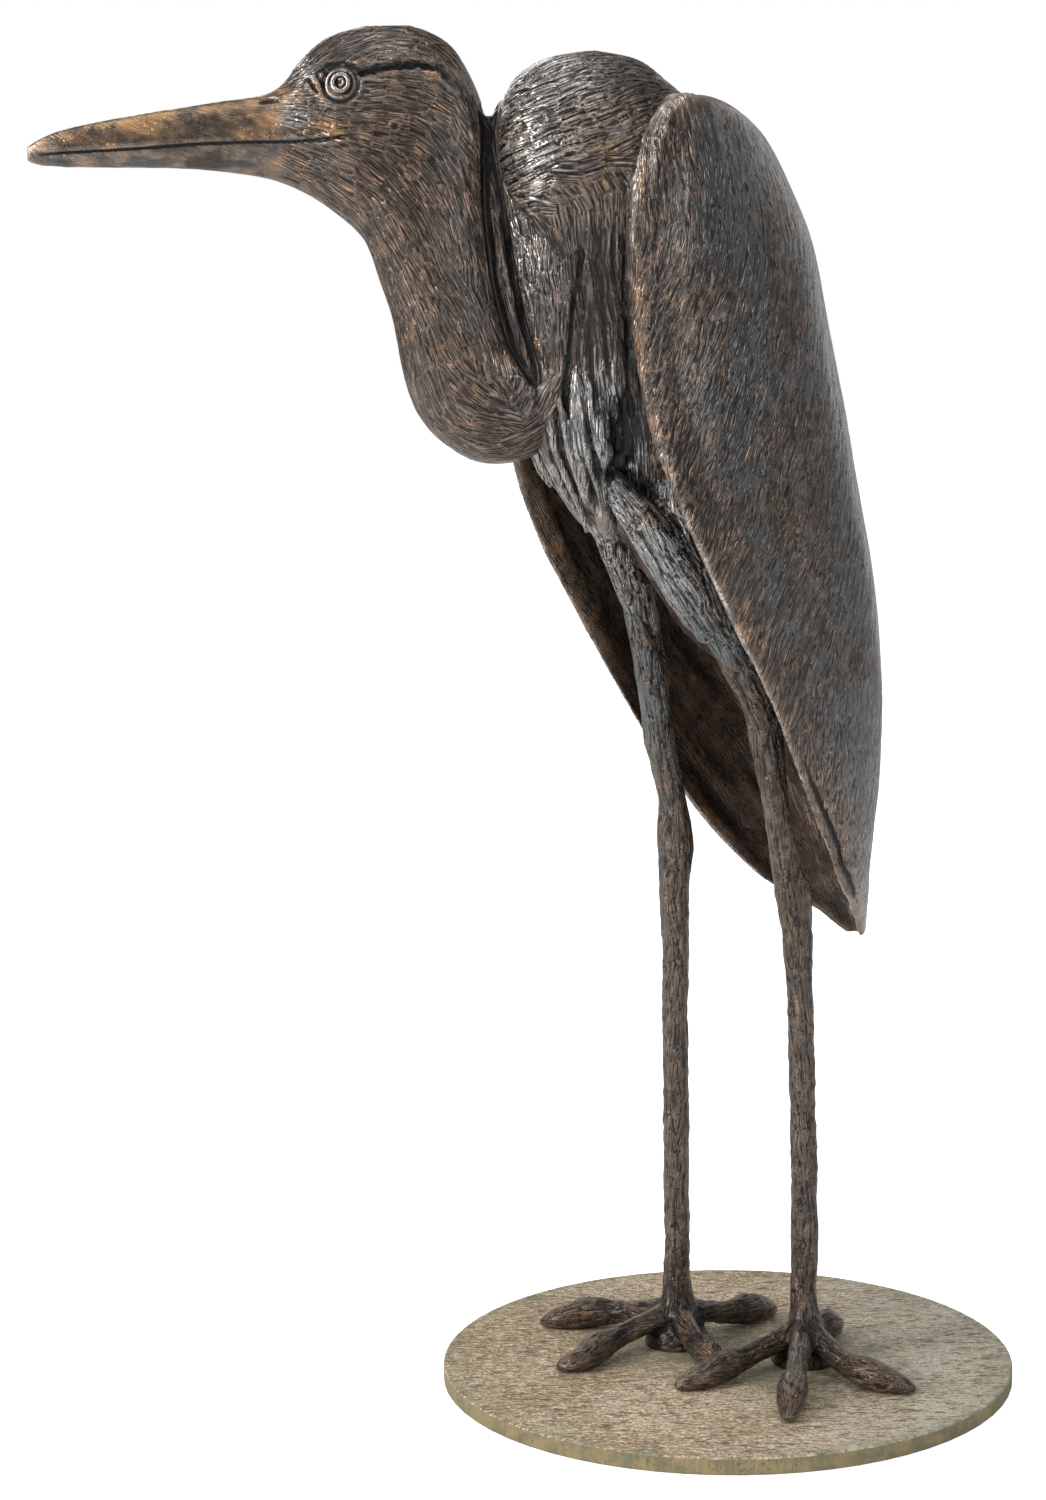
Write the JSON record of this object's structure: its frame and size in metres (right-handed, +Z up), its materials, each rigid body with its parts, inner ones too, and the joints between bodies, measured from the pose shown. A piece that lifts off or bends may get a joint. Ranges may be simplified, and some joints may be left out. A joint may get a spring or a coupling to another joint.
{
  "type": "heron garden sculpture",
  "caption": "Life-size cast-bronze heron standing hunched on long legs, its neck folded and its dagger bill turned to one side, on a round base plate.",
  "frame": {"origin": "centre of the base plate's underside, on the ground", "axes": "+Z up; -Y the way the bird's body faces; +X the bird's left; its neck and bill are turned 45 degrees to its right"},
  "size_m": [0.4535, 0.5885, 0.9356],
  "materials": {
    "bronze": "dark brown-black patinated cast bronze, rubbed to copper on the ridges",
    "plate": "rough olive-brown weathered bronze plate with pale green verdigris"
  },
  "bodies": {
    "root": {"heron": "bronze", "base_plate": "plate"}
  },
  "joints": []
}
